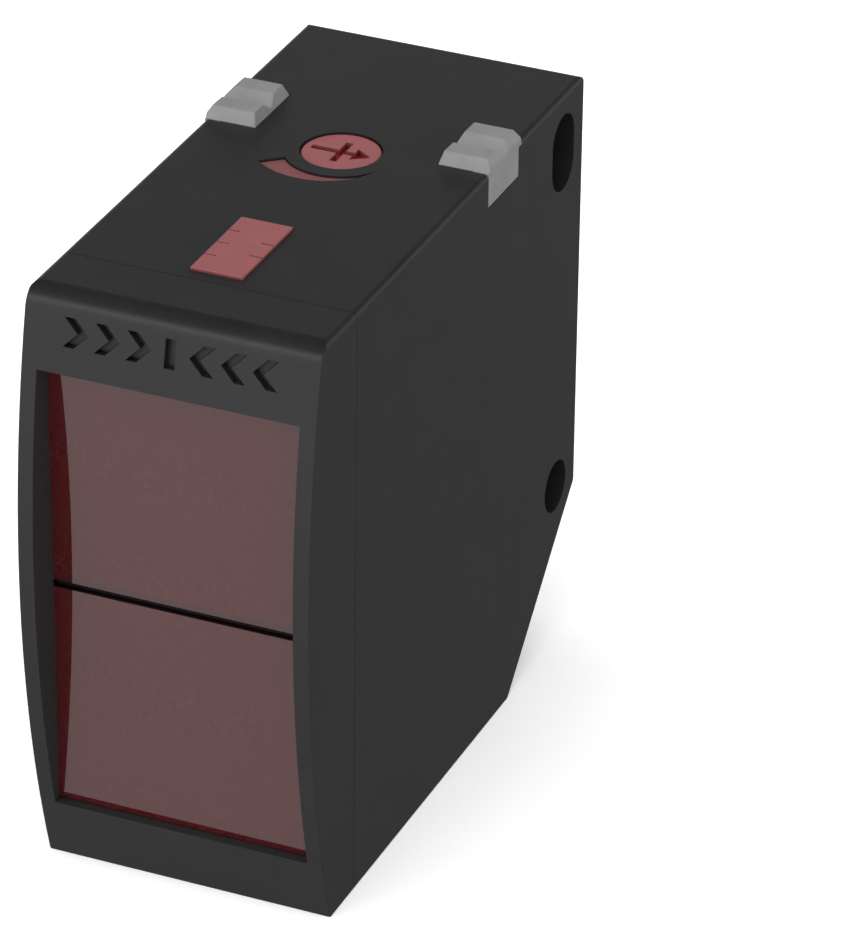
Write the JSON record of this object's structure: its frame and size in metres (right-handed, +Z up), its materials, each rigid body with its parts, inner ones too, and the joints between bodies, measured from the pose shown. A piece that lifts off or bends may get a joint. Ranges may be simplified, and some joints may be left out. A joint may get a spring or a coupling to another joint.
{
  "type": "photoelectric sensor",
  "caption": "Block-shaped photoelectric sensor with a bellied front, dark red optical panes, a chamfered back corner, cross holes and a turning sensitivity adjuster on top.",
  "frame": {"origin": "bottom centre of the bounding box: on the flat bottom face, in the middle of the width and of the depth", "axes": "-Y is the optical front with the panes, +Z is up, towards the adjuster; X is the width, along the cross holes"},
  "size_m": [0.023, 0.051, 0.0492],
  "materials": {
    "housing_plastic": "fine spark-eroded moulded texture, dark grey",
    "frame_plastic": "smoother moulded texture, dark grey",
    "inner_plastic": "black moulded",
    "seal_rubber": "black rubber",
    "window_red": "polished dark red pane",
    "guide_red": "satin red moulded plastic",
    "rotor_plastic": "white moulded",
    "lug_metal": "satin cast light metal",
    "lens_clear": "clear moulded lens",
    "lamp_resin": "clear lamp resin",
    "board_laminate": "green solder mask on laminate",
    "chip_resin": "black moulded chip packages",
    "can_metal": "tinned sheet and can",
    "screw_steel": "zinc-plated steel",
    "plated_brass": "plated contact metal",
    "flex_film": "amber flexible film"
  },
  "bodies": {
    "sensor": {"rear_housing": "housing_plastic", "front_frame": "frame_plastic", "housing_seal": "seal_rubber", "upper_window": "window_red", "lower_window": "window_red", "window_divider": "inner_plastic", "window_gasket": "seal_rubber", "mounting_lug_right": "lug_metal", "mounting_lug_left": "lug_metal", "indicator_window": "guide_red", "sensitivity_scale": "guide_red", "potentiometer_base": "inner_plastic", "optics_carrier": "inner_plastic", "receiver_lens": "lens_clear", "emitter_lens": "lens_clear", "optics_board": "board_laminate", "emitter_led": "lamp_resin", "receiver_diode": "chip_resin", "receiver_shield": "can_metal", "amplifier_chip": "chip_resin", "main_board": "board_laminate", "control_board": "board_laminate", "processor_chip": "chip_resin", "output_transistors": "chip_resin", "filter_capacitor": "can_metal", "board_resistors": "chip_resin", "indicator_leds": "lamp_resin", "optics_link_header": "inner_plastic", "optics_link_pins": "plated_brass", "board_link_header": "inner_plastic", "board_link_pins": "plated_brass", "connector_shell": "plated_brass", "connector_insert": "inner_plastic", "connector_pins": "plated_brass", "connector_seal": "seal_rubber", "connector_board": "board_laminate", "connector_flex": "flex_film", "board_screws": "screw_steel", "carrier_screws": "screw_steel"},
    "adjuster": {"adjuster_knob": "guide_red", "adjuster_seal": "seal_rubber", "potentiometer_rotor": "rotor_plastic"}
  },
  "joints": [
    {"name": "adjuster_turn", "type": "hinge", "parent": "sensor", "child": "adjuster", "pos_m": [0, 0.00591, 0.0482], "axis": [0, 0, 1], "range_deg": [-225, 45]}
  ]
}
